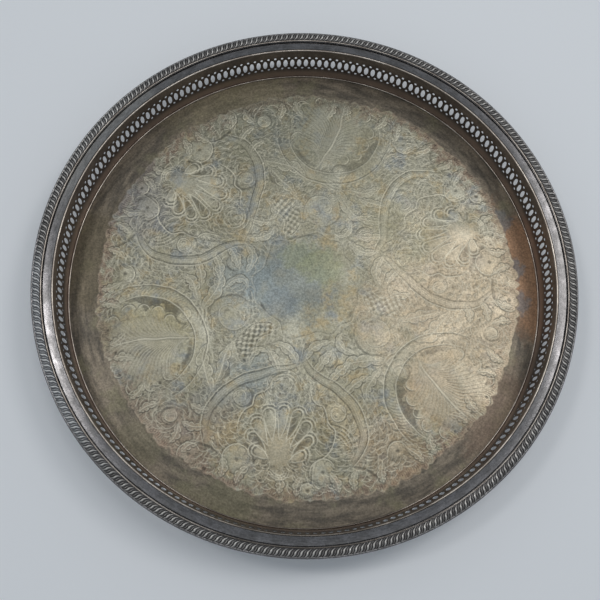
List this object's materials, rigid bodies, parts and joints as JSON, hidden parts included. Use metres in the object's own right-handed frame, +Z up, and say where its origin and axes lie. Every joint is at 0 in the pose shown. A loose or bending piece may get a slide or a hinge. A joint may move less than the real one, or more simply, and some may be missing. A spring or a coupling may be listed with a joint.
{
  "type": "gallery tray",
  "caption": "Round silver-plated gallery tray: flat chased floor, pierced upright gallery wall, flanged rim with a gadroon border; carries glasses and dishes.",
  "frame": {"origin": "centre of the face that the tray stands on", "axes": "+Z up along the tray's axis, square to the floor"},
  "size_m": [0.381, 0.381, 0.0385],
  "materials": {
    "foot": "dull silver plate on brass",
    "floor": "chased silver plate with an olive and gold tarnish",
    "gallery": "silver plate tarnished brown",
    "rim": "satin silver plate with a dark grey tarnish",
    "border": "cast and plated, dark in the hollows and bright on the crests",
    "worn_wire": "plated wire, worn bright"
  },
  "bodies": {
    "root": {"foot_ring": "foot", "floor_plate": "floor", "floor_bead": "worn_wire", "gallery_band": "gallery", "rim_lip_wire": "worn_wire", "rim_flange": "rim", "reed_wire": "worn_wire", "gadroon_section_1": "border", "gadroon_section_2": "border", "gadroon_section_3": "border", "edge_wire": "rim"}
  },
  "joints": []
}
